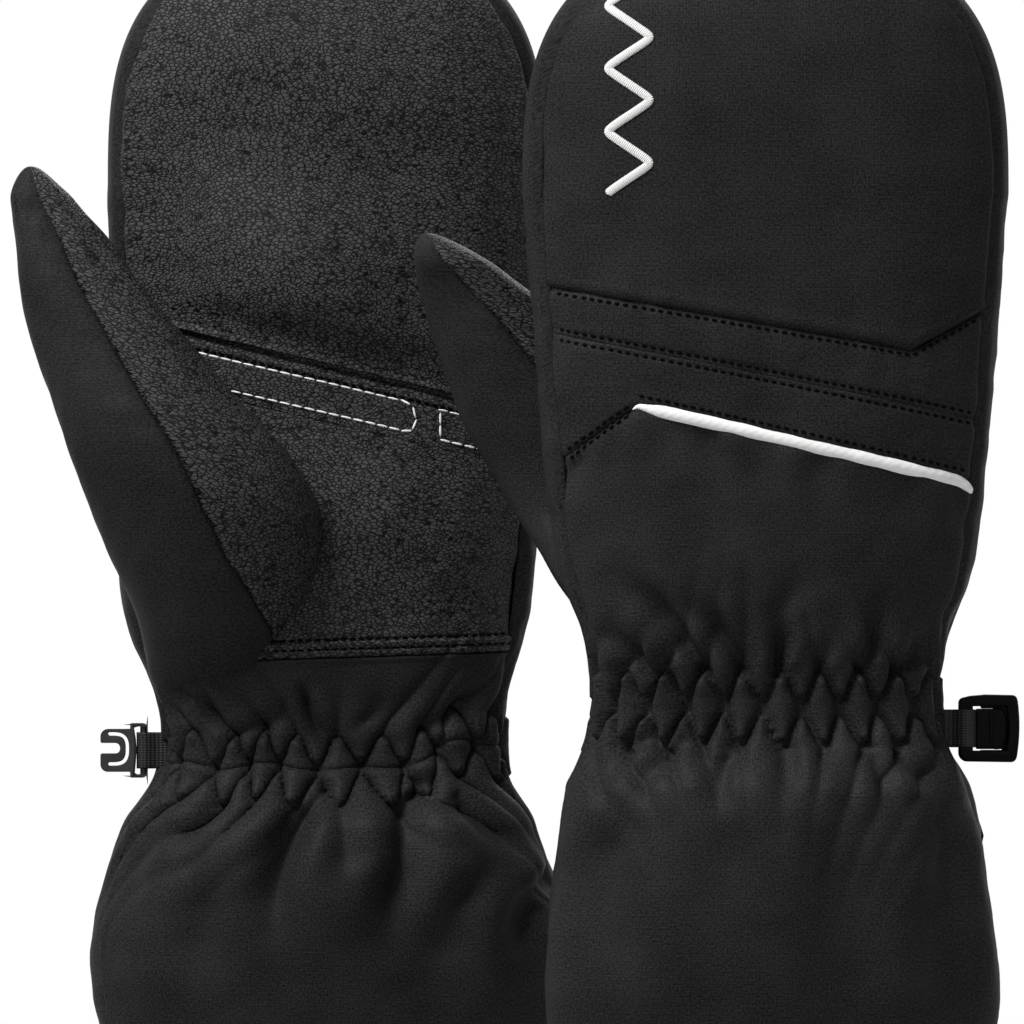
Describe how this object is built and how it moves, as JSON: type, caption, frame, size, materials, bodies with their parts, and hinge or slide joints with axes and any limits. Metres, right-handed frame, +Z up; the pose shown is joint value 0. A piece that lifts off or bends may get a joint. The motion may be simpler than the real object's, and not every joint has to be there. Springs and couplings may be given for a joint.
{
  "type": "pair of ski mittens",
  "caption": "Pair of padded black ski mittens with leather palms, elastic wrists, wide gauntlets, white piping and clips that join them.",
  "frame": {"origin": "centre of the pair's box, at the bottom of the gauntlet hems", "axes": "+Z up to the finger ends, +X across the hands away from the thumbs, -Y the side that shows the right mitten's back and the left mitten's palm"},
  "size_m": [0.2673, 0.1925, 0.313],
  "materials": {
    "shell_fabric": "fine plain-woven polyester, water-repellent, matt black",
    "palm_leather": "pebbled grain, black, satin",
    "white_trim": "white cord, satin embroidery and thick thread",
    "insulation": "polyester wadding",
    "lining": "brushed tricot",
    "elastic": "braided elastic",
    "webbing": "woven tape, 10 mm",
    "hook_plastic": "moulded acetal, matt",
    "frame_plastic": "moulded acetal, polished"
  },
  "bodies": {
    "left_cuff": {"left_cuff_shell": "shell_fabric", "left_cuff_hem": "shell_fabric", "left_cuff_lining": "lining", "left_webbing_tab": "webbing", "left_wrist_gather": "shell_fabric", "left_wrist_elastic": "elastic"},
    "left_hand": {"left_back_top_panel": "shell_fabric", "left_back_upper_band": "shell_fabric", "left_back_lower_band": "shell_fabric", "left_back_wrist_panel": "shell_fabric", "left_piping": "white_trim", "left_embroidery": "white_trim", "left_thumb_side_gusset": "shell_fabric", "left_outer_side_gusset": "shell_fabric", "left_palm_upper_leather": "palm_leather", "left_palm_grip_strip": "palm_leather", "left_palm_lower_leather": "palm_leather", "left_palm_hem_band": "palm_leather", "left_palm_wrist_panel": "shell_fabric", "left_palm_stitching": "white_trim", "left_hand_back_insulation": "insulation", "left_hand_palm_insulation": "insulation", "left_hand_lining": "lining", "left_thumb_root": "shell_fabric"},
    "left_thumb": {"left_thumb_fabric_panel": "shell_fabric", "left_thumb_leather_panel": "palm_leather", "left_thumb_insulation": "insulation", "left_thumb_lining": "lining"},
    "left_clip": {"left_hook_clip": "hook_plastic"},
    "right_cuff": {"right_cuff_shell": "shell_fabric", "right_cuff_hem": "shell_fabric", "right_cuff_lining": "lining", "right_webbing_tab": "webbing", "right_wrist_gather": "shell_fabric", "right_wrist_elastic": "elastic"},
    "right_hand": {"right_back_top_panel": "shell_fabric", "right_back_upper_band": "shell_fabric", "right_back_lower_band": "shell_fabric", "right_back_wrist_panel": "shell_fabric", "right_piping": "white_trim", "right_embroidery": "white_trim", "right_thumb_side_gusset": "shell_fabric", "right_outer_side_gusset": "shell_fabric", "right_palm_upper_leather": "palm_leather", "right_palm_grip_strip": "palm_leather", "right_palm_lower_leather": "palm_leather", "right_palm_hem_band": "palm_leather", "right_palm_wrist_panel": "shell_fabric", "right_palm_stitching": "white_trim", "right_hand_back_insulation": "insulation", "right_hand_palm_insulation": "insulation", "right_hand_lining": "lining", "right_thumb_root": "shell_fabric"},
    "right_thumb": {"right_thumb_fabric_panel": "shell_fabric", "right_thumb_leather_panel": "palm_leather", "right_thumb_insulation": "insulation", "right_thumb_lining": "lining"},
    "right_clip": {"right_frame_clip": "frame_plastic"}
  },
  "joints": [
    {"name": "left_wrist_flex", "type": "hinge", "parent": "left_cuff", "child": "left_hand", "pos_m": [-0.0497, 0.064, 0.092], "axis": [1, 0, 0], "range_deg": [-25, 25], "stiffness_Nm_per_rad": 1, "deforming": ["left_wrist_gather", "left_wrist_elastic"]},
    {"name": "left_thumb_flex", "type": "hinge", "parent": "left_hand", "child": "left_thumb", "pos_m": [-0.0892, 0.0295, 0.172], "axis": [0, -1, 0], "range_deg": [-6, 20], "stiffness_Nm_per_rad": 0.3, "deforming": ["left_thumb_root"]},
    {"name": "left_clip_swing", "type": "hinge", "parent": "left_cuff", "child": "left_clip", "pos_m": [-0.1017, 0.064, 0.09], "axis": [0, 0, 1], "range_deg": [-75, 75]},
    {"name": "right_wrist_flex", "type": "hinge", "parent": "right_cuff", "child": "right_hand", "pos_m": [0.0683, -0.064, 0.105], "axis": [1, 0, 0], "range_deg": [-25, 25], "stiffness_Nm_per_rad": 1, "deforming": ["right_wrist_gather", "right_wrist_elastic"]},
    {"name": "right_thumb_flex", "type": "hinge", "parent": "right_hand", "child": "right_thumb", "pos_m": [0.0178, -0.0295, 0.16], "axis": [0, -1, 0], "range_deg": [-6, 20], "stiffness_Nm_per_rad": 0.3, "deforming": ["right_thumb_root"]},
    {"name": "right_clip_swing", "type": "hinge", "parent": "right_cuff", "child": "right_clip", "pos_m": [0.11988, -0.064, 0.0985], "axis": [0, 0, 1], "range_deg": [-75, 75]},
    {"name": "mittens_apart", "type": "slide", "parent": "left_cuff", "child": "right_cuff", "axis": [1, 0, 0], "range_m": [0, 0.25]}
  ]
}
